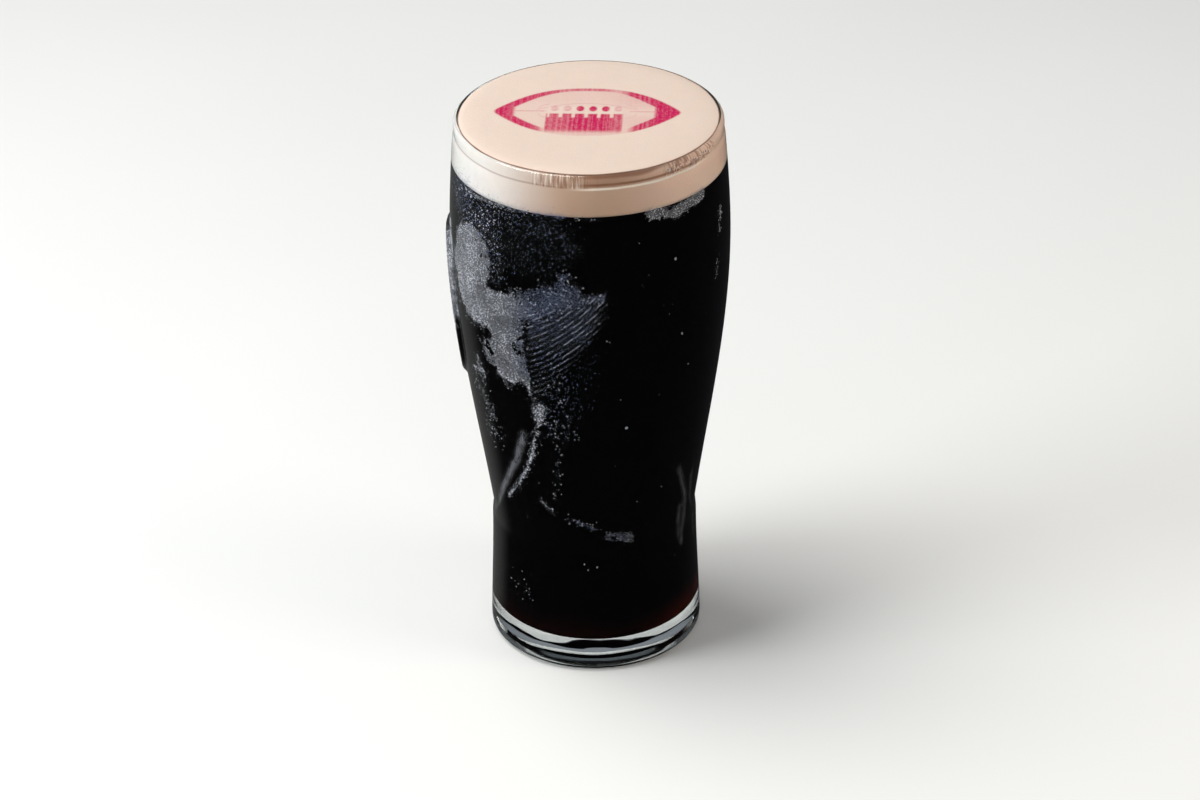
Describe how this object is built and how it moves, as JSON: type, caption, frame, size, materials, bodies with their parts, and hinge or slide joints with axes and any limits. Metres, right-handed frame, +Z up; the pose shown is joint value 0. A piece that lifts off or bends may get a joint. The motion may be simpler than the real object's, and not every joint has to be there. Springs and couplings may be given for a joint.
{
  "type": "pint of stout",
  "caption": "Waisted pint glass with scooped sides, filled to the lip with dark stout under a domed cream head.",
  "frame": {"origin": "centre of the underside, on the table", "axes": "+Z up along the glass, -Y towards the viewer, -X towards the raised pad"},
  "size_m": [0.0838, 0.0826, 0.173],
  "materials": {
    "clear_glass": "clear polished glass, partly fogged with condensation",
    "dark_stout": "near-black stout with a ruby edge",
    "cream_foam": "fine matt cream foam",
    "water_drops": "clear condensation beads"
  },
  "bodies": {
    "root": {"glass": "clear_glass", "stout": "dark_stout", "head": "cream_foam"}
  },
  "joints": []
}
